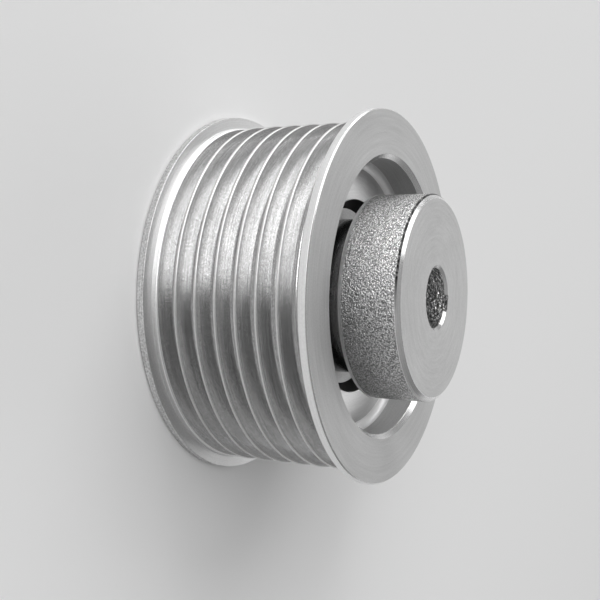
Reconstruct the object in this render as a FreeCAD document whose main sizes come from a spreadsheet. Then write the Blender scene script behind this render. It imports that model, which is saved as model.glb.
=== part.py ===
import FreeCAD, Part
import Sketcher
import math
import os

# V-ribbed belt pulley, in millimetres.
# The pulley stands on the rear face of its rim. The shaft axis is Z, and the hub stands up in front.
# The origin lies on the axis, in the plane of the rear rim face.

SIZES = {
    # Ribs: seven grooves for an automotive belt with a 3.56 mm rib pitch
    "crest_dia": 59.2,         # over the rib crests
    "groove_count": 7,
    "rib_pitch": 3.56,
    "groove_angle": 40.0,
    "crest_width": 0.45,       # width of a rib at its crest, before its edges are rounded
    "crest_round": 0.25,
    "root_round": 0.5,
    # Side flanges, from the rim face inwards: land, steep side down to the crests, and a round shoulder
    "flange_height": 1.9,      # above the rib crests
    "flange_land": 1.35,
    "flange_slope": 0.2,
    "flange_shoulder": 0.74,
    "shoulder_round": 0.4,
    "flange_chamfer": 0.2,
    # Recesses and web
    "rim_wall": 6.35,          # from the rib crests to the recess
    "recess_depth": 6.4,
    "web_thickness": 9.0,
    "recess_fillet": 1.25,
    "recess_chamfer": 0.75,
    "dish_gap": 1.9,           # flat ring of the dish floor around the neck
    "dish_flare": 1.5,         # radial width of the dish's cone
    "dish_depth": 2.2,
    # Hub: collar, neck, and the spigot that is pressed into the web
    "neck_dia": 26.4,
    "neck_fillet": 0.8,
    "collar_overhang": 4.0,    # collar beyond the neck
    "collar_length": 10.3,
    "hub_stand_out": 8.3,      # hub face in front of the rim face
    "collar_chamfer": 0.7,
    "collar_rear_round": 0.35,
    "spigot_shoulder": 2.2,    # ring of the neck that rests on the dish floor
    "spigot_chamfer": 0.6,
    # Shaft bore, with a shallow keyway
    "bore_dia": 10.0,
    "bore_chamfer": 0.45,
    "key_width": 2.8,
    "key_depth": 0.55,         # from the bore wall to the keyway floor, on the centre line
}

# Widths, diameters and heights that follow from the driving sizes
FOLLOWING = {
    "slope_foot": "=flange_land + flange_slope",
    "rim_width": "=groove_count * rib_pitch + 2 * (slope_foot + flange_shoulder)",
    "rib_field": "=(groove_count - 1) * rib_pitch",
    "first_groove": "=(rim_width - rib_field) / 2",
    "groove_half_mouth": "=(rib_pitch - crest_width) / 2",
    "flange_dia": "=crest_dia + 2 * flange_height",
    "recess_dia": "=crest_dia - 2 * rim_wall",
    "web_front": "=rim_width - recess_depth",
    "web_rear": "=web_front - web_thickness",
    "dish_floor": "=web_front - dish_depth",
    "dish_floor_dia": "=neck_dia + 2 * dish_gap",
    "dish_mouth_dia": "=dish_floor_dia + 2 * dish_flare",
    "spigot_dia": "=neck_dia - 2 * spigot_shoulder",
    "collar_dia": "=neck_dia + 2 * collar_overhang",
    "hub_face": "=rim_width + hub_stand_out",
    "collar_rear": "=hub_face - collar_length",
    "key_reach": "=bore_dia / 2 + key_depth",
}

TOUCH = 1e-4


def add_sheet(doc):
    """The spreadsheet with the driving sizes and what follows from them."""
    sheet = doc.addObject("Spreadsheet::Sheet", "Sizes")
    row = 1
    for alias, value in list(SIZES.items()) + list(FOLLOWING.items()):
        sheet.set("A%d" % row, alias)
        sheet.set("B%d" % row, str(value))
        sheet.setAlias("B%d" % row, alias)
        row += 1
    doc.recompute()
    return sheet


def origin_item(body, role):
    """One of the body's own origin planes or axes."""
    for item in body.Origin.OriginFeatures:
        if item.Role == role:
            return item
    raise ValueError("no origin item " + role)


def add_sketch(body, name, role, height=None):
    """An empty sketch on an origin plane, lifted along its normal by a cell of the sheet."""
    sketch = body.newObject("Sketcher::SketchObject", name)
    sketch.AttachmentSupport = [(origin_item(body, role), "")]
    sketch.MapMode = "FlatFace"
    if height:
        sketch.setExpression("AttachmentOffset.Base.z", "Sizes." + height)
    return sketch


def bind(sketch, name, constraint, expression):
    """Adds a dimension to a sketch and ties it to the sheet."""
    index = sketch.addConstraint(constraint)
    sketch.renameConstraint(index, name)
    sketch.setExpression("Constraints." + name, expression)


def add_circle(body, name, dia, height=None):
    """A sketch with one circle around the axis."""
    sketch = add_sketch(body, name, "XY_Plane", height)
    radius = body.Document.Sizes.get(dia) / 2
    circle = sketch.addGeometry(Part.Circle(FreeCAD.Vector(0, 0, 0), FreeCAD.Vector(0, 0, 1), radius))
    sketch.addConstraint(Sketcher.Constraint("Coincident", circle, 3, -1, 1))
    bind(sketch, "dia", Sketcher.Constraint("Diameter", circle, 2 * radius), "Sizes." + dia)
    return sketch


def add_half_section(body, name, corners):
    """A closed outline on one side of the axis: each corner is a diameter cell and a height cell.

    None as the diameter puts a corner on the axis, and None as the height puts it on the rear rim face.
    """
    sketch = add_sketch(body, name, "XZ_Plane")
    count = len(corners)
    start = [FreeCAD.Vector(index + 1, (index + 1) ** 2, 0) for index in range(count)]
    for index in range(count):
        sketch.addGeometry(Part.LineSegment(start[index], start[(index + 1) % count]))
    for index in range(count):
        sketch.addConstraint(Sketcher.Constraint("Coincident", index, 2, (index + 1) % count, 1))
    for index, (dia, height) in enumerate(corners):
        place = start[index]
        if dia is None:
            sketch.addConstraint(Sketcher.Constraint("PointOnObject", index, 1, -2))
        else:
            across = Sketcher.Constraint("DistanceX", -1, 1, index, 1, place.x)
            bind(sketch, "radius_%d" % index, across, dia + " / 2")
        if height is None:
            sketch.addConstraint(Sketcher.Constraint("PointOnObject", index, 1, -1))
        else:
            along = Sketcher.Constraint("DistanceY", -1, 1, index, 1, place.y)
            bind(sketch, "height_%d" % index, along, height)
    return sketch


def revolve(body, kind, name, sketch):
    """A full turn of a half section around the shaft axis, added or cut away."""
    feature = body.newObject("PartDesign::" + kind, name)
    feature.Profile = sketch
    feature.ReferenceAxis = (sketch, ["V_Axis"])
    feature.Angle = 360
    return feature


def pocket(body, name, sketch, depth=None, upwards=False):
    """A pocket of a set depth, or right through the body."""
    feature = body.newObject("PartDesign::Pocket", name)
    feature.Profile = sketch
    feature.Reversed = upwards
    if depth:
        feature.Type = "Length"
        feature.setExpression("Length", depth)
    else:
        feature.Type = "ThroughAll"
        feature.Midplane = True
    return feature


def check_cut(doc, before, feature):
    """Stops where a cut took nothing away."""
    doc.recompute()
    if feature.Shape.Volume > before - TOUCH:
        raise ValueError(feature.Name + " cuts nothing")
    return feature.Shape.Volume


def ring_edges(feature, radius, heights):
    """The names of the full circles of one radius around the axis, at the given heights."""
    names = []
    for number, edge in enumerate(feature.Shape.Edges, 1):
        curve = edge.Curve
        if not isinstance(curve, Part.Circle) or abs(curve.Radius - radius) > TOUCH:
            continue
        if math.hypot(curve.Center.x, curve.Center.y) > TOUCH:
            continue
        if any(abs(curve.Center.z - height) < TOUCH for height in heights):
            names.append("Edge%d" % number)
    if len(names) != len(heights):
        raise ValueError("%s has %d of %d rings" % (feature.Name, len(names), len(heights)))
    return names


def edge_feature(doc, body, kind, name, size, radius, heights):
    """A fillet or chamfer on rings of the body's last feature."""
    base = body.Tip
    feature = body.newObject("PartDesign::" + kind, name)
    feature.Base = (base, ring_edges(base, radius, heights))
    feature.setExpression("Radius" if kind == "Fillet" else "Size", "Sizes." + size)
    doc.recompute()
    return feature


def add_groove_section(body):
    """The section of one belt groove: two straight flanks that meet in a round root.

    The sketch runs outwards along X and forwards along Y. The root arc has no place of its own: it
    follows from its radius and from the two flanks that it touches.
    """
    sheet = body.Document.Sizes
    half_angle = math.radians(sheet.groove_angle / 2)
    crest = sheet.crest_dia / 2
    root = sheet.root_round
    half_mouth = sheet.groove_half_mouth
    middle = sheet.first_groove
    outside = sheet.flange_dia / 2
    normal = FreeCAD.Vector(math.sin(half_angle), -math.cos(half_angle), 0)
    axis = FreeCAD.Vector(0, 0, 1)

    def mirrored(point):
        return FreeCAD.Vector(point.x, 2 * middle - point.y, 0)

    mouth = FreeCAD.Vector(crest, middle + half_mouth, 0)
    drop = (half_mouth * math.cos(half_angle) - root) / math.sin(half_angle)
    root_centre = FreeCAD.Vector(crest - drop, middle, 0)
    flank_foot = root_centre - normal * root
    rim_point = FreeCAD.Vector(outside, mouth.y, 0)

    turn = math.pi / 2 - half_angle
    sketch = add_sketch(body, "groove_section", "XZ_Plane")
    front_flank = sketch.addGeometry(Part.LineSegment(mouth, flank_foot))
    root_arc = sketch.addGeometry(
        Part.ArcOfCircle(Part.Circle(root_centre, axis, root), math.pi - turn, math.pi + turn))
    rear_flank = sketch.addGeometry(Part.LineSegment(mirrored(flank_foot), mirrored(mouth)))
    rear_side = sketch.addGeometry(Part.LineSegment(mirrored(mouth), mirrored(rim_point)))
    outer_line = sketch.addGeometry(Part.LineSegment(mirrored(rim_point), rim_point))
    front_side = sketch.addGeometry(Part.LineSegment(rim_point, mouth))

    rule = Sketcher.Constraint
    sketch.addConstraint(rule("Tangent", front_flank, 2, root_arc, 1))
    sketch.addConstraint(rule("Tangent", rear_flank, 1, root_arc, 2))
    for line, other in (
            (rear_flank, rear_side), (rear_side, outer_line),
            (outer_line, front_side), (front_side, front_flank)):
        sketch.addConstraint(rule("Coincident", line, 2, other, 1))
    sketch.addConstraint(rule("Horizontal", rear_side))
    sketch.addConstraint(rule("Horizontal", front_side))
    sketch.addConstraint(rule("Vertical", outer_line))

    bind(sketch, "root_round", rule("Radius", root_arc, root), "Sizes.root_round")
    bind(sketch, "front_crest", rule("DistanceX", -1, 1, front_flank, 1, crest), "Sizes.crest_dia / 2")
    bind(sketch, "rear_crest", rule("DistanceX", -1, 1, rear_flank, 2, crest), "Sizes.crest_dia / 2")
    bind(sketch, "outside", rule("DistanceX", -1, 1, outer_line, 1, outside), "Sizes.flange_dia / 2")
    bind(sketch, "front_edge", rule("DistanceY", -1, 1, front_flank, 1, mouth.y),
         "Sizes.first_groove + Sizes.groove_half_mouth")
    bind(sketch, "rear_edge", rule("DistanceY", -1, 1, rear_flank, 2, mirrored(mouth).y),
         "Sizes.first_groove - Sizes.groove_half_mouth")
    bind(sketch, "vee", rule("Angle", rear_flank, 1, front_flank, 2, 2 * half_angle),
         "Sizes.groove_angle")
    bind(sketch, "lean", rule("Angle", front_side, 1, front_flank, 1, half_angle),
         "Sizes.groove_angle / 2")
    return sketch


def round_rib_edges(doc, body):
    """Small rounds on every rib crest, and a larger one on the two shoulders beside the flanges."""
    sheet = doc.Sizes
    middles = [sheet.first_groove + sheet.rib_pitch * index for index in range(int(sheet.groove_count))]
    front_edges = [middle + sheet.groove_half_mouth for middle in middles]
    rear_edges = [middle - sheet.groove_half_mouth for middle in middles]
    crest = sheet.crest_dia / 2
    edge_feature(doc, body, "Fillet", "crest_rounds", "crest_round", crest, front_edges[:-1] + rear_edges[1:])
    edge_feature(doc, body, "Fillet", "shoulder_rounds", "shoulder_round", crest,
                 [rear_edges[0], front_edges[-1]])


def make_rim(doc):
    """The turned rim: drum with flanges, belt grooves, a recess at each side and the web between."""
    body = doc.addObject("PartDesign::Body", "pulley_rim")
    body.Label = "pulley_rim"
    section = add_half_section(body, "rim_section", [
        (None, None),
        ("Sizes.flange_dia", None),
        ("Sizes.flange_dia", "Sizes.flange_land"),
        ("Sizes.crest_dia", "Sizes.slope_foot"),
        ("Sizes.crest_dia", "Sizes.rim_width - Sizes.slope_foot"),
        ("Sizes.flange_dia", "Sizes.rim_width - Sizes.flange_land"),
        ("Sizes.flange_dia", "Sizes.rim_width"),
        (None, "Sizes.rim_width"),
    ])
    blank = revolve(body, "Revolution", "rim_blank", section)
    doc.recompute()
    volume = blank.Shape.Volume

    groove = revolve(body, "Groove", "belt_groove", add_groove_section(body))
    volume = check_cut(doc, volume, groove)
    ribs = body.newObject("PartDesign::LinearPattern", "belt_grooves")
    ribs.Originals = [groove]
    ribs.Direction = (origin_item(body, "Z_Axis"), [""])
    ribs.setExpression("Length", "Sizes.rib_field")
    ribs.setExpression("Occurrences", "Sizes.groove_count")
    body.Tip = ribs
    check_cut(doc, volume, ribs)
    round_rib_edges(doc, body)
    volume = body.Tip.Shape.Volume

    front = pocket(body, "front_recess", add_circle(body, "front_mouth", "recess_dia", "rim_width"),
                   "Sizes.recess_depth")
    volume = check_cut(doc, volume, front)
    rear = pocket(body, "rear_recess", add_circle(body, "rear_mouth", "recess_dia"),
                  "Sizes.web_rear", upwards=True)
    volume = check_cut(doc, volume, rear)
    dish = revolve(body, "Groove", "dish", add_half_section(body, "dish_section", [
        (None, "Sizes.dish_floor"),
        ("Sizes.dish_floor_dia", "Sizes.dish_floor"),
        ("Sizes.dish_mouth_dia", "Sizes.web_front"),
        (None, "Sizes.web_front"),
    ]))
    volume = check_cut(doc, volume, dish)
    seat = pocket(body, "spigot_bore", add_circle(body, "spigot_circle", "spigot_dia", "web_rear"))
    check_cut(doc, volume, seat)

    sheet = doc.Sizes
    rim_faces = [0, sheet.rim_width]
    web_faces = [sheet.web_front, sheet.web_rear]
    edge_feature(doc, body, "Fillet", "recess_fillets", "recess_fillet", sheet.recess_dia / 2, web_faces)
    edge_feature(doc, body, "Chamfer", "recess_chamfers", "recess_chamfer", sheet.recess_dia / 2, rim_faces)
    edge_feature(doc, body, "Chamfer", "flange_chamfers", "flange_chamfer", sheet.flange_dia / 2, rim_faces)
    return body


def add_keyway_outline(body):
    """The rectangle of the keyway, from the axis out to the keyway floor on the +X side."""
    sketch = add_sketch(body, "keyway_outline", "XY_Plane", "hub_face")
    reach = body.Document.Sizes.key_reach
    half = body.Document.Sizes.key_width / 2
    corners = [FreeCAD.Vector(x, y, 0) for x, y in ((0, -half), (reach, -half), (reach, half), (0, half))]
    for index in range(4):
        sketch.addGeometry(Part.LineSegment(corners[index], corners[(index + 1) % 4]))
    for index in range(4):
        sketch.addConstraint(Sketcher.Constraint("Coincident", index, 2, (index + 1) % 4, 1))
    for index, direction in enumerate(("Horizontal", "Vertical", "Horizontal", "Vertical")):
        sketch.addConstraint(Sketcher.Constraint(direction, index))
    sketch.addConstraint(Sketcher.Constraint("Symmetric", 3, 1, 3, 2, -1, 1))
    bind(sketch, "width", Sketcher.Constraint("DistanceY", 3, 2, 3, 1, 2 * half), "Sizes.key_width")
    bind(sketch, "reach", Sketcher.Constraint("DistanceX", 0, 1, 0, 2, reach), "Sizes.key_reach")
    return sketch


def make_hub(doc):
    """The forged hub: collar, neck with its shoulder on the dish floor, and spigot through the web."""
    body = doc.addObject("PartDesign::Body", "hub")
    body.Label = "hub"
    section = add_half_section(body, "hub_section", [
        (None, "Sizes.web_rear"),
        ("Sizes.spigot_dia", "Sizes.web_rear"),
        ("Sizes.spigot_dia", "Sizes.dish_floor"),
        ("Sizes.neck_dia", "Sizes.dish_floor"),
        ("Sizes.neck_dia", "Sizes.collar_rear"),
        ("Sizes.collar_dia", "Sizes.collar_rear"),
        ("Sizes.collar_dia", "Sizes.hub_face"),
        (None, "Sizes.hub_face"),
    ])
    blank = revolve(body, "Revolution", "hub_blank", section)
    doc.recompute()
    volume = blank.Shape.Volume
    sheet = doc.Sizes
    ends = [sheet.hub_face, sheet.web_rear]
    bore = pocket(body, "shaft_bore", add_circle(body, "bore_circle", "bore_dia", "hub_face"))
    check_cut(doc, volume, bore)
    edge_feature(doc, body, "Chamfer", "bore_chamfers", "bore_chamfer", sheet.bore_dia / 2, ends)
    edge_feature(doc, body, "Chamfer", "collar_front", "collar_chamfer",
                 sheet.collar_dia / 2, [sheet.hub_face])
    edge_feature(doc, body, "Fillet", "collar_back", "collar_rear_round",
                 sheet.collar_dia / 2, [sheet.collar_rear])
    edge_feature(doc, body, "Fillet", "neck_root", "neck_fillet", sheet.neck_dia / 2, [sheet.collar_rear])
    edge_feature(doc, body, "Chamfer", "spigot_end", "spigot_chamfer",
                 sheet.spigot_dia / 2, [sheet.web_rear])
    volume = body.Tip.Shape.Volume
    keyway = pocket(body, "keyway", add_keyway_outline(body))
    check_cut(doc, volume, keyway)
    return body


def check_document(doc):
    """Stops where any object failed."""
    for item in doc.Objects:
        if "Invalid" in item.State or "Error" in item.State:
            raise ValueError(item.Name + " failed")


def write_parts(bodies):
    """Writes each piece under its own label."""
    os.makedirs("parts", exist_ok=True)
    for body in bodies:
        if body.Shape.isNull() or not body.Shape.isValid():
            raise ValueError(body.Label + " has no valid shape")
    for body in bodies:
        body.Shape.exportStep("parts/" + body.Label + ".step")
        box = body.Shape.BoundBox
        print(body.Label, "volume", round(body.Shape.Volume, 2), "solids", len(body.Shape.Solids),
              "z", round(box.ZMin, 3), round(box.ZMax, 3), "across", round(box.XLength, 3))


def main():
    doc = FreeCAD.newDocument("ribbed_pulley")
    add_sheet(doc)
    bodies = [make_rim(doc), make_hub(doc)]
    doc.recompute()
    check_document(doc)
    write_parts(bodies)


main()
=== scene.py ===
import math

import bmesh
import bpy
from mathutils import Matrix, Vector


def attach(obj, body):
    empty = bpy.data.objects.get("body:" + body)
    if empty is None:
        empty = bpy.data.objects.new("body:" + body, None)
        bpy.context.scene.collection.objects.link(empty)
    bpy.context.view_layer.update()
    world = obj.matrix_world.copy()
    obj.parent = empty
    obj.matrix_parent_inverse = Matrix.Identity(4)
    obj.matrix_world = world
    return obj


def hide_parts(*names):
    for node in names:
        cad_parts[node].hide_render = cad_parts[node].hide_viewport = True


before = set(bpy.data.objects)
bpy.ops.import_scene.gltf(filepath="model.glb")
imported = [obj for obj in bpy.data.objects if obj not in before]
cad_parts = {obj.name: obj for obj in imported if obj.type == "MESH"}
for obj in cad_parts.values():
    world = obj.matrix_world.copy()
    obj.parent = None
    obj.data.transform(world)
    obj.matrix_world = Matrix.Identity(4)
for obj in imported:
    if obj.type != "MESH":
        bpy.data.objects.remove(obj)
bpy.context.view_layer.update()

# Sizes of the pulley in millimetres. The shaft axis is Z, and the rim stands on its rear face at z = 0.
MM = 0.001
# Rim: flanges, ribs and grooves
FLANGE_R = 31.5
RIM_WIDTH = 29.5
FLANGE_LAND = 1.35
FLANGE_SLOPE = 0.2
FLANGE_CHAMFER = 0.2
SHOULDER_ROUND = 0.4
CREST_R = 29.6
GROOVES = 7
RIB_PITCH = 3.56
GROOVE_ANGLE = 40.0
CREST_WIDTH = 0.45
CREST_ROUND = 0.25
ROOT_ROUND = 0.5
# Rim: recesses, web and the dish in its middle
RECESS_R = 23.25
RECESS_DEPTH = 6.4
RECESS_FILLET = 1.25
RECESS_CHAMFER = 0.75
WEB_THICKNESS = 9.0
DISH_MOUTH_R = 16.6
DISH_FLOOR_R = 15.1
DISH_DEPTH = 2.2
DISH_LIP = 0.2
# Hub: collar, neck, spigot, bore and keyway
COLLAR_R = 17.2
COLLAR_LENGTH = 10.3
COLLAR_CHAMFER = 0.7
BURR = 0.22
COLLAR_REAR_ROUND = 0.35
REAR_STRIP = 0.35
FRONT_STRIP = 0.1
HUB_STAND_OUT = 8.3
NECK_R = 13.2
NECK_FILLET = 0.8
SPIGOT_R = 11.0
SPIGOT_CHAMFER = 0.6
BORE_R = 5.0
BORE_CHAMFER = 0.45
KEY_WIDTH = 2.8
KEY_DEPTH = 0.55

WEB_FRONT = RIM_WIDTH - RECESS_DEPTH
WEB_REAR = WEB_FRONT - WEB_THICKNESS
DISH_FLOOR = WEB_FRONT - DISH_DEPTH
HUB_FACE = RIM_WIDTH + HUB_STAND_OUT
COLLAR_REAR = HUB_FACE - COLLAR_LENGTH

# Softening of the machined edges, which catches the light
EDGE = 0.08
# A narrow strip at each end of a flat side, so that the roundings don't bend its shading
GUARD = 0.03
GUARDED_LENGTH = 6 * GUARD
# Fineness of the turned meshes
EDGE_PARTS = 3
ROUND_PARTS = 6
SKIN_ROWS = 70
STEPS_AROUND_RIM = 320
STEPS_AROUND_HUB = 800
WELD_DISTANCE = 0.001
SHARP_DEGREES = 32
# Relief of the forged skin
SKIN_GRAIN = 0.30
SKIN_DEPTH = 0.12

# Finishes, as numbers that the outlines carry
FACED = 0
GROOVED = 1
POLISHED = 2
BRIGHT_EDGE = 3
FORGED = 4
BORED = 5
PAINTED_SHADE = 6
WALL = 7
PAINTED_HIGHLIGHT = 8
DISH = 9
NECK = 10
STEEP = 11
SKIN_EDGE = 12
LAND = 13
CREST = 14
REAR_LAND = 15


# Outlines

def rounded(before, corner, after, radius):
    """The arc that rounds one corner of an outline, as points from the first side to the second."""
    parts = EDGE_PARTS if radius <= EDGE else ROUND_PARTS
    here = Vector(corner)
    side_in = (Vector(before) - here).normalized()
    side_out = (Vector(after) - here).normalized()
    opening = side_in.angle(side_out)
    reach = radius / math.tan(opening / 2)
    middle = here + (side_in + side_out).normalized() * radius / math.sin(opening / 2)
    first = here + side_in * reach - middle
    turn = first.angle_signed(here + side_out * reach - middle)
    points = []
    for index in range(parts + 1):
        spoke = first.copy()
        spoke.rotate(Matrix.Rotation(-turn * index / parts, 2))
        points.append(tuple(middle + spoke))
    return points


def side_marks(length, pieces, from_rounding, to_rounding):
    """Where a straight side is cut, as shares of its length: into pieces, and beside its roundings."""
    marks = [number / pieces for number in range(1, pieces)]
    if length > GUARDED_LENGTH and from_rounding:
        marks.insert(0, GUARD / length)
    if length > GUARDED_LENGTH and to_rounding:
        marks.append(1 - GUARD / length)
    return marks


def outline(corners):
    """A closed outline from (radius, height, rounding, finish, pieces) corners.

    The finish is that of the side that starts at the corner, and pieces says into how many that side
    is cut. A sixth value is the finish of the rounding. Returns the points and the finish of the side
    after each point.
    """
    count = len(corners)
    bends = []
    for index, (radius, height, rounding, *_) in enumerate(corners):
        before = corners[index - 1][:2]
        after = corners[(index + 1) % count][:2]
        here = (radius, height)
        bends.append(rounded(before, here, after, rounding) if rounding else [here])
    points = []
    finishes = []
    for index, (_, _, rounding, finish, pieces, *arc_finish) in enumerate(corners):
        bend = bends[index]
        points += bend
        finishes += (arc_finish or [corners[index - 1][3]]) * (len(bend) - 1) + [finish]
        first = Vector(bend[-1])
        last = Vector(bends[(index + 1) % count][0])
        next_rounding = corners[(index + 1) % count][2]
        for mark in side_marks((last - first).length, pieces, rounding, next_rounding):
            points.append(tuple(first.lerp(last, mark)))
            finishes.append(finish)
    return points, finishes


def groove_corners(number):
    """One belt groove: its rear edge, the point where its flanks would meet, and its front edge."""
    middle = RIM_WIDTH / 2 + (number - (GROOVES - 1) / 2) * RIB_PITCH
    half_mouth = (RIB_PITCH - CREST_WIDTH) / 2
    depth = half_mouth / math.tan(math.radians(GROOVE_ANGLE / 2))
    rear_round = SHOULDER_ROUND if number == 0 else CREST_ROUND
    front_round = SHOULDER_ROUND if number == GROOVES - 1 else CREST_ROUND
    after = LAND if number == GROOVES - 1 else CREST
    return [
        (CREST_R, middle - half_mouth, rear_round, GROOVED, 1),
        (CREST_R - depth, middle, ROOT_ROUND, GROOVED, 1),
        (CREST_R, middle + half_mouth, front_round, after, 1, GROOVED),
    ]


def rim_outline():
    """The rim's section: up the outside over the grooves, across the front, and back down inside."""
    foot = FLANGE_LAND + FLANGE_SLOPE
    chamfer = FLANGE_CHAMFER
    mouth = RECESS_CHAMFER
    rear = [
        (FLANGE_R - chamfer, 0, EDGE, NECK, 1),
        (FLANGE_R, chamfer, EDGE, REAR_LAND, 1),
        (FLANGE_R, FLANGE_LAND, EDGE, STEEP, 1),
        (CREST_R, foot, EDGE, LAND, 1),
    ]
    front = [
        (CREST_R, RIM_WIDTH - foot, EDGE, STEEP, 1),
        (FLANGE_R, RIM_WIDTH - FLANGE_LAND, EDGE, LAND, 1),
        (FLANGE_R, RIM_WIDTH - chamfer, EDGE, BRIGHT_EDGE, 1),
        (FLANGE_R - chamfer, RIM_WIDTH, EDGE, FACED, 4),
        (RECESS_R + mouth, RIM_WIDTH, EDGE, BRIGHT_EDGE, 1),
        (RECESS_R, RIM_WIDTH - mouth, EDGE, WALL, 2),
        (RECESS_R, WEB_FRONT, RECESS_FILLET, POLISHED, 4, PAINTED_HIGHLIGHT),
        (DISH_MOUTH_R, WEB_FRONT, DISH_LIP, PAINTED_SHADE, 1, PAINTED_HIGHLIGHT),
        (DISH_FLOOR_R, DISH_FLOOR, 0, DISH, 1),
        (SPIGOT_R, DISH_FLOOR, 0, PAINTED_SHADE, 1),
        (SPIGOT_R, WEB_REAR, 0, FACED, 3),
        (RECESS_R, WEB_REAR, RECESS_FILLET, FACED, 3),
        (RECESS_R, mouth, EDGE, BRIGHT_EDGE, 1),
        (RECESS_R + mouth, 0, EDGE, FACED, 4),
    ]
    grooves = []
    for number in range(GROOVES):
        grooves += groove_corners(number)
    return outline(rear + grooves + front)


def hub_outline():
    """The hub's section, from the rear end of its bore out and forwards, and back through the bore."""
    skin_front = HUB_FACE - COLLAR_CHAMFER
    return outline([
        (BORE_R, WEB_REAR + BORE_CHAMFER, 0, BRIGHT_EDGE, 1),
        (BORE_R + BORE_CHAMFER, WEB_REAR, 0, FACED, 2),
        (SPIGOT_R - SPIGOT_CHAMFER, WEB_REAR, 0, BRIGHT_EDGE, 1),
        (SPIGOT_R, WEB_REAR + SPIGOT_CHAMFER, 0, PAINTED_SHADE, 1),
        (SPIGOT_R, DISH_FLOOR, 0, PAINTED_SHADE, 1),
        (NECK_R, DISH_FLOOR, 0, NECK, 4),
        (NECK_R, COLLAR_REAR, NECK_FILLET, NECK, 2),
        (COLLAR_R, COLLAR_REAR, COLLAR_REAR_ROUND, LAND, 1, LAND),
        (COLLAR_R, COLLAR_REAR + COLLAR_REAR_ROUND + REAR_STRIP, 0, FORGED, SKIN_ROWS),
        (COLLAR_R, skin_front - FRONT_STRIP, 0, SKIN_EDGE, 1),
        (COLLAR_R, skin_front, 0, SKIN_EDGE, 1),
        (COLLAR_R - BURR, skin_front + BURR, 0, BRIGHT_EDGE, 2),
        (COLLAR_R - COLLAR_CHAMFER, HUB_FACE, EDGE, FACED, 4),
        (BORE_R + BORE_CHAMFER, HUB_FACE, EDGE, BRIGHT_EDGE, 1),
        (BORE_R, HUB_FACE - BORE_CHAMFER, 0, BORED, 6),
    ])


# Helpers

def add_object(name, data):
    """A new object in the scene, at the origin."""
    thing = bpy.data.objects.new(name, data)
    bpy.context.scene.collection.objects.link(thing)
    return thing


def finished_mesh(thing):
    """A plain mesh of an object with its modifiers applied."""
    return bpy.data.meshes.new_from_object(thing.evaluated_get(bpy.context.evaluated_depsgraph_get()))


def link(tree, source, target):
    tree.links.new(source, target)


def node(tree, kind, **settings):
    """A new node with its own settings."""
    made = tree.nodes.new(kind)
    for key, value in settings.items():
        setattr(made, key, value)
    return made


def feed(tree, target, value):
    """Links a socket, or writes a plain value into it."""
    if isinstance(value, bpy.types.NodeSocket):
        link(tree, value, target)
    else:
        target.default_value = value


def maths(tree, operation, first, second=0.0, third=None):
    made = node(tree, "ShaderNodeMath", operation=operation)
    feed(tree, made.inputs[0], first)
    feed(tree, made.inputs[1], second)
    if third is not None:
        feed(tree, made.inputs[2], third)
    return made.outputs[0]


def spread(tree, value, low, high, to_low=0.0, to_high=1.0):
    """Maps a value from one range to another, held at the ends."""
    made = node(tree, "ShaderNodeMapRange")
    feed(tree, made.inputs["Value"], value)
    feed(tree, made.inputs["From Min"], low)
    feed(tree, made.inputs["From Max"], high)
    feed(tree, made.inputs["To Min"], to_low)
    feed(tree, made.inputs["To Max"], to_high)
    return made.outputs["Result"]


def split(tree, vector):
    """The X, Y and Z of a vector."""
    parts = node(tree, "ShaderNodeSeparateXYZ")
    link(tree, vector, parts.inputs[0])
    return parts.outputs


# Turned bodies

def stored_finish(tree):
    """The finish number that a point of an outline or a face of a turned mesh carries."""
    stored = node(tree, "GeometryNodeInputNamedAttribute", data_type="INT")
    stored.inputs["Name"].default_value = "finish"
    return stored.outputs["Attribute"]


def line_number(tree, line_length):
    """The number of the line that an item of a grid is in, counted from 0."""
    index = node(tree, "GeometryNodeInputIndex").outputs[0]
    return maths(tree, "FLOOR", maths(tree, "DIVIDE", maths(tree, "ADD", index, 0.5), line_length))


def turned_grid(tree, given):
    """A grid wrapped round Z: a row for each point of the outline, and its first row and column again."""
    size = node(tree, "GeometryNodeAttributeDomainSize", component="MESH")
    link(tree, given.outputs["Geometry"], size.inputs["Geometry"])
    rows = size.outputs["Point Count"]
    steps_closed = maths(tree, "ADD", given.outputs["Steps"], 1)
    grid = node(tree, "GeometryNodeMeshGrid")
    feed(tree, grid.inputs["Vertices X"], maths(tree, "ADD", rows, 1))
    feed(tree, grid.inputs["Vertices Y"], steps_closed)

    index = node(tree, "GeometryNodeInputIndex").outputs[0]
    line = line_number(tree, steps_closed)
    step = maths(tree, "SUBTRACT", index, maths(tree, "MULTIPLY", line, steps_closed))
    row = maths(tree, "FLOORED_MODULO", line, rows)
    step = maths(tree, "FLOORED_MODULO", step, given.outputs["Steps"])
    place = node(tree, "GeometryNodeSampleIndex", data_type="FLOAT_VECTOR", domain="POINT")
    link(tree, given.outputs["Geometry"], place.inputs["Geometry"])
    link(tree, node(tree, "GeometryNodeInputPosition").outputs[0], place.inputs["Value"])
    link(tree, row, place.inputs["Index"])
    turn = maths(tree, "MULTIPLY", maths(tree, "DIVIDE", step, given.outputs["Steps"]), -math.tau)
    spin = node(tree, "ShaderNodeVectorRotate", rotation_type="Z_AXIS")
    link(tree, place.outputs["Value"], spin.inputs["Vector"])
    link(tree, turn, spin.inputs["Angle"])
    put = node(tree, "GeometryNodeSetPosition")
    link(tree, grid.outputs["Mesh"], put.inputs["Geometry"])
    link(tree, spin.outputs["Vector"], put.inputs["Position"])
    return put.outputs["Geometry"]


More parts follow.
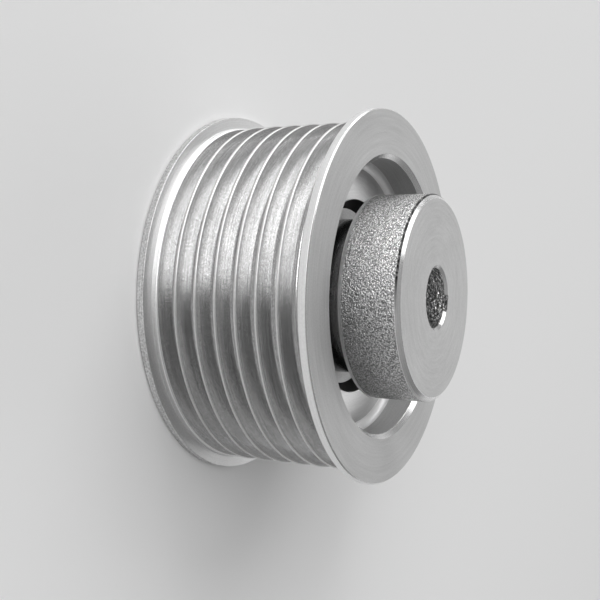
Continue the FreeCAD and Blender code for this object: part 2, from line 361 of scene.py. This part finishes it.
def carry_finish(tree, geometry, given):
    """Gives each face the finish of the outline's side that it was turned from."""
    finish = node(tree, "GeometryNodeSampleIndex", data_type="INT", domain="POINT")
    link(tree, given.outputs["Geometry"], finish.inputs["Geometry"])
    link(tree, stored_finish(tree), finish.inputs["Value"])
    link(tree, line_number(tree, given.outputs["Steps"]), finish.inputs["Index"])
    keep = node(tree, "GeometryNodeStoreNamedAttribute", data_type="INT", domain="FACE")
    keep.inputs["Name"].default_value = "finish"
    link(tree, geometry, keep.inputs["Geometry"])
    link(tree, finish.outputs["Value"], keep.inputs["Value"])
    return keep.outputs["Geometry"]


def welded(tree, geometry):
    """Closes the seams, where the first row and column come again."""
    merge = node(tree, "GeometryNodeMergeByDistance")
    merge.inputs["Distance"].default_value = WELD_DISTANCE * MM
    link(tree, geometry, merge.inputs["Geometry"])
    return merge.outputs["Geometry"]


def rough_skin(tree, geometry, given):
    """Pushes the forged faces in and out by the grain of the forging."""
    noise = node(tree, "ShaderNodeTexNoise")
    noise.inputs["Detail"].default_value = 2
    link(tree, node(tree, "GeometryNodeInputPosition").outputs[0], noise.inputs["Vector"])
    link(tree, maths(tree, "DIVIDE", 1.0, given.outputs["Skin Grain"]), noise.inputs["Scale"])
    height = maths(tree, "SUBTRACT", noise.outputs["Fac"], 0.5)
    offset = node(tree, "ShaderNodeVectorMath", operation="SCALE")
    link(tree, node(tree, "GeometryNodeInputNormal").outputs[0], offset.inputs[0])
    link(tree, maths(tree, "MULTIPLY", height, given.outputs["Skin Depth"]), offset.inputs["Scale"])
    move = node(tree, "GeometryNodeSetPosition")
    link(tree, geometry, move.inputs["Geometry"])
    link(tree, maths(tree, "COMPARE", stored_finish(tree), FORGED, 0.1), move.inputs["Selection"])
    link(tree, offset.outputs["Vector"], move.inputs["Offset"])
    return move.outputs["Geometry"]


def shaded(tree, geometry, given):
    """Shades the faces smooth, apart from edges that bend by more than the sharp angle."""
    smooth = node(tree, "GeometryNodeSetShadeSmooth", domain="FACE")
    link(tree, geometry, smooth.inputs["Geometry"])
    angle = node(tree, "GeometryNodeInputMeshEdgeAngle").outputs["Unsigned Angle"]
    sharp = node(tree, "GeometryNodeSetShadeSmooth", domain="EDGE")
    link(tree, smooth.outputs["Geometry"], sharp.inputs["Geometry"])
    link(tree, maths(tree, "GREATER_THAN", angle, given.outputs["Sharp Angle"]), sharp.inputs["Selection"])
    sharp.inputs["Shade Smooth"].default_value = False
    return sharp.outputs["Geometry"]


def painted(tree, geometry, finishes):
    """Gives the faces of each finish their material."""
    for number, material in finishes.items():
        paint = node(tree, "GeometryNodeSetMaterial")
        link(tree, geometry, paint.inputs["Geometry"])
        link(tree, maths(tree, "COMPARE", stored_finish(tree), number, 0.5), paint.inputs["Selection"])
        paint.inputs["Material"].default_value = material
        geometry = paint.outputs["Geometry"]
    return geometry


def lathe_tree(name, finishes):
    """Turns an outline around Z: named inputs for its sizes, and one material for each finish."""
    tree = bpy.data.node_groups.new(name, "GeometryNodeTree")
    tree.interface.new_socket("Geometry", in_out="INPUT", socket_type="NodeSocketGeometry")
    tree.interface.new_socket("Steps", in_out="INPUT", socket_type="NodeSocketInt")
    for label in ("Sharp Angle", "Skin Grain", "Skin Depth"):
        tree.interface.new_socket(label, in_out="INPUT", socket_type="NodeSocketFloat")
    tree.interface.new_socket("Geometry", in_out="OUTPUT", socket_type="NodeSocketGeometry")
    given = node(tree, "NodeGroupInput")
    closed = welded(tree, carry_finish(tree, turned_grid(tree, given), given))
    realize = node(tree, "GeometryNodeRealizeInstances")
    link(tree, shaded(tree, rough_skin(tree, closed, given), given), realize.inputs["Geometry"])
    last = painted(tree, realize.outputs["Geometry"], finishes)
    link(tree, last, node(tree, "NodeGroupOutput").inputs["Geometry"])
    return tree


def turned_piece(name, section, steps, finishes):
    """A plain mesh piece, turned from an outline by geometry nodes."""
    points, numbers = section
    wire = bpy.data.meshes.new(name + "_section")
    wire.from_pydata([(radius * MM, 0, height * MM) for radius, height in points], [], [])
    layer = wire.attributes.new("finish", "INT", "POINT")
    for index, number in enumerate(numbers):
        layer.data[index].value = number
    maker = add_object(name + "_maker", wire)
    tree = lathe_tree(name + "_lathe", finishes)
    modifier = maker.modifiers.new("lathe", "NODES")
    modifier.node_group = tree
    values = {
        "Steps": steps,
        "Sharp Angle": math.radians(SHARP_DEGREES),
        "Skin Grain": SKIN_GRAIN * MM,
        "Skin Depth": SKIN_DEPTH * MM,
    }
    for item in tree.interface.items_tree:
        if item.in_out == "INPUT" and item.name in values:
            modifier[item.identifier] = values[item.name]
    mesh = finished_mesh(maker)
    mesh.name = name
    bpy.data.objects.remove(maker)
    return add_object(name, mesh)


# Surface effects shared by the materials

def effect(name, inputs, output):
    """An empty shader group with named inputs and one named output."""
    tree = bpy.data.node_groups.new(name, "ShaderNodeTree")
    for label, value in inputs:
        socket = tree.interface.new_socket(label, in_out="INPUT", socket_type="NodeSocketFloat")
        socket.default_value = value
    tree.interface.new_socket(output, in_out="OUTPUT", socket_type="NodeSocketFloat")
    return tree, node(tree, "NodeGroupInput"), node(tree, "NodeGroupOutput")


def object_place(tree):
    """Object coordinates in millimetres, centred on the shaft axis."""
    coordinates = node(tree, "ShaderNodeTexCoord")
    mapping = node(tree, "ShaderNodeMapping")
    mapping.inputs["Scale"].default_value = (1 / MM, 1 / MM, 1 / MM)
    link(tree, coordinates.outputs["Object"], mapping.inputs["Vector"])
    return mapping.outputs["Vector"]


def turning_marks():
    """Tool marks that run round the axis: fine across the turned surface, long around it."""
    inputs = [("Lines Per mm", 6.0), ("Length", 3.0), ("Waver", 0.5)]
    tree, given, result = effect("turning_marks", inputs, "Height")
    place = split(tree, object_place(tree))
    across = maths(tree, "MULTIPLY", place["X"], place["X"])
    along = maths(tree, "MULTIPLY", place["Y"], place["Y"])
    radius = maths(tree, "SQRT", maths(tree, "ADD", across, along))
    lines = given.outputs["Lines Per mm"]
    around = given.outputs["Length"]
    cosine = maths(tree, "DIVIDE", place["X"], radius)
    sine = maths(tree, "DIVIDE", place["Y"], radius)
    ring = node(tree, "ShaderNodeCombineXYZ")
    link(tree, maths(tree, "MULTIPLY", radius, lines), ring.inputs["X"])
    link(tree, maths(tree, "MULTIPLY", place["Z"], lines), ring.inputs["Y"])
    link(tree, maths(tree, "MULTIPLY", cosine, around), ring.inputs["Z"])
    noise = node(tree, "ShaderNodeTexNoise", noise_dimensions="4D")
    noise.inputs["Scale"].default_value = 1
    noise.inputs["Detail"].default_value = 3
    link(tree, ring.outputs["Vector"], noise.inputs["Vector"])
    link(tree, maths(tree, "MULTIPLY", sine, around), noise.inputs["W"])
    link(tree, given.outputs["Waver"], noise.inputs["Roughness"])
    link(tree, noise.outputs["Fac"], result.inputs["Height"])
    return tree


def grain():
    """Even grain of a matt or satin metal surface."""
    tree, given, result = effect("grain", [("Size mm", 0.3), ("Detail", 3.0)], "Height")
    noise = node(tree, "ShaderNodeTexNoise")
    link(tree, object_place(tree), noise.inputs["Vector"])
    link(tree, maths(tree, "DIVIDE", 1.0, given.outputs["Size mm"]), noise.inputs["Scale"])
    link(tree, given.outputs["Detail"], noise.inputs["Detail"])
    link(tree, noise.outputs["Fac"], result.inputs["Height"])
    return tree


def smudges():
    """Soft smudges from handling, as patches from 0 to 1."""
    tree, given, result = effect("smudges", [("Size mm", 9.0)], "Smudge")
    noise = node(tree, "ShaderNodeTexNoise")
    noise.inputs["Detail"].default_value = 4
    link(tree, object_place(tree), noise.inputs["Vector"])
    link(tree, maths(tree, "DIVIDE", 1.0, given.outputs["Size mm"]), noise.inputs["Scale"])
    link(tree, spread(tree, noise.outputs["Fac"], 0.35, 0.65), result.inputs["Smudge"])
    return tree


MARKS = turning_marks()
GRAIN = grain()
SMUDGES = smudges()


def use(tree, group, **values):
    """The output of a shared effect, placed with its own values: names with _ for spaces."""
    made = node(tree, "ShaderNodeGroup")
    made.node_tree = group
    for key, value in values.items():
        made.inputs[key.replace("_", " ")].default_value = value
    return made.outputs[0]


# Materials

def grey(level):
    return (level, level, level, 1)


def blend_greys(tree, amount, dark, light):
    made = node(tree, "ShaderNodeMix", data_type="RGBA")
    feed(tree, made.inputs["Factor"], amount)
    made.inputs["A"].default_value = grey(dark)
    made.inputs["B"].default_value = grey(light)
    return made.outputs["Result"]


def bump(tree, height, depth_mm, below=None):
    """A bump of a real depth in millimetres, on top of another one."""
    made = node(tree, "ShaderNodeBump")
    made.inputs["Strength"].default_value = 1
    made.inputs["Distance"].default_value = depth_mm * MM
    link(tree, height, made.inputs["Height"])
    if below:
        link(tree, below, made.inputs["Normal"])
    return made.outputs["Normal"]


def metal(name):
    """A new metal material, its tree and its shader."""
    material = bpy.data.materials.new(name)
    material.use_nodes = True
    tree = material.node_tree
    shader = tree.nodes["Principled BSDF"]
    shader.inputs["Metallic"].default_value = 1
    return material, tree, shader


def even_mix(tree, first, second):
    """The mean of two values."""
    return maths(tree, "MULTIPLY_ADD", first, 0.5, maths(tree, "MULTIPLY", second, 0.5))


def steel(name, greys, rough, marks, specks):
    """Machined steel: turning marks, grain and smudges, each at its own scale.

    greys and rough are the lowest and highest value, marks are the lines per mm and their depth, and
    specks the size and depth of the grain, in millimetres.
    """
    material, tree, shader = metal(name)
    lines = use(tree, MARKS, Lines_Per_mm=marks[0])
    grains = use(tree, GRAIN, Size_mm=specks[0])
    tone = spread(tree, even_mix(tree, grains, lines), 0.35, 0.65)
    link(tree, blend_greys(tree, tone, *greys), shader.inputs["Base Color"])
    sheen = even_mix(tree, use(tree, SMUDGES), lines)
    link(tree, spread(tree, sheen, 0.0, 1.0, *rough), shader.inputs["Roughness"])
    ground = bump(tree, grains, specks[1])
    link(tree, bump(tree, lines, marks[1], ground), shader.inputs["Normal"])
    return material


def forged_skin():
    """The pebbled skin that forging leaves round the collar: darker in its pits, with painted shade that
    darkens it towards its rear.
    """
    material, tree, shader = metal("forged_skin")
    coarse = use(tree, GRAIN, Size_mm=0.26, Detail=3.0)
    fine = use(tree, GRAIN, Size_mm=0.12, Detail=2.0)
    height = split(tree, object_place(tree))["Z"]
    # Painted shade: the skin's colour falls to 0.6 of itself towards the collar's rear, next to the
    # recess.
    rear_painted_shade = spread(tree, height, COLLAR_REAR + 1, HUB_FACE - 2, 0.60, 1.0)
    peaks = spread(tree, coarse, 0.40, 0.62)
    colour = blend_greys(tree, maths(tree, "MULTIPLY", peaks, rear_painted_shade), 0.27, 0.92)
    link(tree, colour, shader.inputs["Base Color"])
    link(tree, spread(tree, fine, 0.3, 0.7, 0.14, 0.28), shader.inputs["Roughness"])
    link(tree, bump(tree, fine, 0.03, bump(tree, coarse, 0.22)), shader.inputs["Normal"])
    return material


def skin_edge():
    """The ragged line where the forged skin meets the turned chamfer: painted shade, dark on the +Y side
    and light on the -Y side, with worn specks.
    """
    material, tree, shader = metal("skin_edge")
    specks = use(tree, GRAIN, Size_mm=0.6, Detail=3.0)
    # Painted shade: the line is dark at and above y = 0 and fades to light by 6 mm towards -Y.
    unshaded_side = spread(tree, split(tree, object_place(tree))["Y"], 0, -6)
    worn = spread(tree, specks, 0.50, 0.70, 0.0, 0.35)
    colour = blend_greys(tree, maths(tree, "MAXIMUM", unshaded_side, worn), 0.03, 0.85)
    link(tree, colour, shader.inputs["Base Color"])
    link(tree, spread(tree, specks, 0.3, 0.7, 0.30, 0.45), shader.inputs["Roughness"])
    link(tree, bump(tree, specks, 0.05), shader.inputs["Normal"])
    return material


def make_finishes():
    return {
        FACED: steel("faced_steel", (0.50, 0.61), (0.54, 0.64), (2.2, 0.002), (0.25, 0.003)),
        GROOVED: steel("grooved_steel", (0.50, 0.80), (0.18, 0.28), (4, 0.002), (0.30, 0.003)),
        POLISHED: steel("polished_steel", (0.54, 0.65), (0.26, 0.36), (4, 0.001), (0.3, 0.001)),
        BRIGHT_EDGE: steel("bright_edge", (0.82, 0.92), (0.16, 0.26), (6, 0.001), (0.3, 0.001)),
        FORGED: forged_skin(),
        BORED: steel("bored_steel", (0.45, 0.98), (0.20, 0.30), (3, 0.02), (0.50, 0.20)),
        # Near-black steel as painted shade: the dish's cone, the walls where the spigot sits in the rim,
        # and the step at the neck's foot.
        PAINTED_SHADE: steel("painted_shade_steel", (0.02, 0.04), (0.5, 0.6), (8, 0.001), (0.3, 0.001)),
        WALL: steel("recess_wall", (0.56, 0.68), (0.50, 0.60), (5, 0.002), (0.25, 0.003)),
        # Pale steel as painted highlight: the whole recess fillet and the dish lip.
        PAINTED_HIGHLIGHT: steel("recess_fillet", (0.90, 0.98), (0.40, 0.50), (5, 0.001), (0.3, 0.001)),
        DISH: steel("dish_floor", (0.55, 0.70), (0.40, 0.52), (5, 0.002), (0.25, 0.003)),
        # Dark steel as painted shade: the neck deep in the recess, and the rim's rear chamfer.
        NECK: steel("neck", (0.25, 0.45), (0.20, 0.34), (5, 0.004), (0.3, 0.006)),
        STEEP: steel("flange_side", (0.64, 0.76), (0.42, 0.52), (6, 0.001), (0.25, 0.002)),
        SKIN_EDGE: skin_edge(),
        LAND: steel("turned_land", (0.80, 0.92), (0.34, 0.44), (5, 0.002), (0.3, 0.003)),
        CREST: steel("rib_crest", (0.58, 0.72), (0.26, 0.36), (5, 0.002), (0.3, 0.003)),
        REAR_LAND: steel("rear_land", (0.40, 0.92), (0.28, 0.38), (5, 0.004), (0.35, 0.010)),
    }


# Pieces

def cut_keyway(hub, finish):
    """Cuts the keyway through the whole hub, on the +X side of the bore."""
    mesh = bpy.data.meshes.new("keyway_tool")
    mesh.materials.append(finish)
    tool = bmesh.new()
    bmesh.ops.create_cube(tool, size=1)
    reach = BORE_R + KEY_DEPTH
    length = COLLAR_LENGTH + HUB_FACE
    bmesh.ops.scale(tool, vec=(reach * MM, KEY_WIDTH * MM, length * MM), verts=tool.verts)
    bmesh.ops.translate(tool, vec=(reach / 2 * MM, 0, (WEB_REAR + HUB_FACE) / 2 * MM), verts=tool.verts)
    tool.to_mesh(mesh)
    tool.free()
    cutter = add_object("keyway_tool", mesh)
    modifier = hub.modifiers.new("keyway", "BOOLEAN")
    modifier.operation = "DIFFERENCE"
    modifier.solver = "EXACT"
    modifier.material_mode = "TRANSFER"
    modifier.object = cutter
    cut = finished_mesh(hub)
    hub.modifiers.clear()
    hub.data = cut
    bpy.data.objects.remove(cutter)


def make_pieces():
    finishes = make_finishes()
    rim = turned_piece("pulley_rim_turned", rim_outline(), STEPS_AROUND_RIM, finishes)
    hub = turned_piece("hub_forged", hub_outline(), STEPS_AROUND_HUB, finishes)
    cut_keyway(hub, finishes[BORED])
    for piece, name, slot in ((rim, "pulley_rim", "rim"), (hub, "hub", "hub")):
        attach(piece, "root")
        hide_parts(name)


# Stage, light and camera: the floor's width in metres, and levels where 1 is white

FLOOR_SIZE = 3.0
FLOOR_GREY = 0.84
LIGHT_SIDE = Vector((0.00, 0.55, 0.75)).normalized()
DARK_EDGE = -0.15
LIGHT_EDGE = 0.50
DARK_LEVEL = 0.20
LIGHT_LEVEL = 0.32
BACKDROP_LEVEL = 0.60
BACKDROP_TOP = (0.12, 0.30)

# The camera's lens and film width, its place, the way it looks, how far, and what is up in its picture
LENS = 57.26
FILM_WIDTH = 36
CAMERA_PLACE = Vector((-148.57, -25.09, 90.23))
CAMERA_LOOK = Vector((0.8767, 0.142, -0.4596))
CAMERA_REACH = 160
CAMERA_UP = Vector((-0.1736, 0.9845, -0.0269))


def make_stage():
    mesh = bpy.data.meshes.new("floor")
    half = FLOOR_SIZE / 2
    corners = [(-half, -half, 0), (half, -half, 0), (half, half, 0), (-half, half, 0)]
    mesh.from_pydata(corners, [], [(0, 1, 2, 3)])
    floor = add_object("floor", mesh)
    material = bpy.data.materials.new("pale_floor")
    material.use_nodes = True
    shader = material.node_tree.nodes["Principled BSDF"]
    shader.inputs["Base Color"].default_value = grey(FLOOR_GREY)
    shader.inputs["Roughness"].default_value = 0.9
    shader.inputs["Specular IOR Level"].default_value = 0
    mesh.materials.append(material)


def make_world():
    """A grey studio, light above the keyed side and dark on the other, with a pale backdrop all round."""
    world = bpy.data.worlds.new("studio")
    world.use_nodes = True
    bpy.context.scene.world = world
    tree = world.node_tree
    sky = tree.nodes["Background"]
    direction = node(tree, "ShaderNodeTexCoord").outputs["Generated"]
    side = node(tree, "ShaderNodeVectorMath", operation="DOT_PRODUCT")
    link(tree, direction, side.inputs[0])
    side.inputs[1].default_value = LIGHT_SIDE
    level = spread(tree, side.outputs["Value"], DARK_EDGE, LIGHT_EDGE, DARK_LEVEL, LIGHT_LEVEL)
    level.node.interpolation_type = "SMOOTHSTEP"
    backdrop = node(tree, "ShaderNodeMix", data_type="FLOAT")
    feed(tree, backdrop.inputs["Factor"], spread(tree, split(tree, direction)["Z"], *BACKDROP_TOP))
    feed(tree, backdrop.inputs["A"], BACKDROP_LEVEL)
    feed(tree, backdrop.inputs["B"], level)
    sky.inputs["Color"].default_value = grey(1)
    link(tree, backdrop.outputs["Result"], sky.inputs["Strength"])


def aim(thing, place, target, up=Vector((0, 0, 1))):
    """Puts an object at a place, with its -Z towards a target and its Y towards up."""
    back = (place - target).normalized()
    side = up.cross(back).normalized()
    top = back.cross(side)
    thing.matrix_world = Matrix.Translation(place) @ Matrix((side, top, back)).transposed().to_4x4()


def add_lamp(name, place_mm, size_mm, watts):
    """A softbox that lights the middle of the rim and doesn't show in the picture."""
    lamp = bpy.data.lights.new(name, "AREA")
    lamp.shape = "RECTANGLE"
    lamp.size = size_mm[0] * MM
    lamp.size_y = size_mm[1] * MM
    lamp.energy = watts
    thing = add_object(name, lamp)
    thing.visible_camera = False
    aim(thing, Vector(place_mm) * MM, Vector((0, 0, RIM_WIDTH / 2)) * MM)


def make_lights():
    add_lamp("key_softbox", (-2450, 1520, 1405), (4300, 1350), 76)
    add_lamp("side_softbox", (0, 3150, 655), (3720, 1300), 45)
    add_lamp("window_softbox", (0, 2300, 2280), (2420, 1900), 21)
    add_lamp("back_softbox", (3150, 525, 1650), (2520, 2520), 18)


def make_camera():
    """The photograph's own view: 27 degrees above the flange face, close up, with the shaft axis level."""
    camera = bpy.data.cameras.new("camera")
    camera.lens = LENS
    camera.sensor_width = FILM_WIDTH
    camera.clip_start = 0.01
    thing = add_object("camera", camera)
    place = CAMERA_PLACE * MM
    aim(thing, place, place + CAMERA_LOOK * CAMERA_REACH * MM, CAMERA_UP)
    bpy.context.scene.camera = thing


make_pieces()
make_stage()
make_world()
make_lights()
make_camera()
bpy.context.scene.view_settings.view_transform = "Standard"
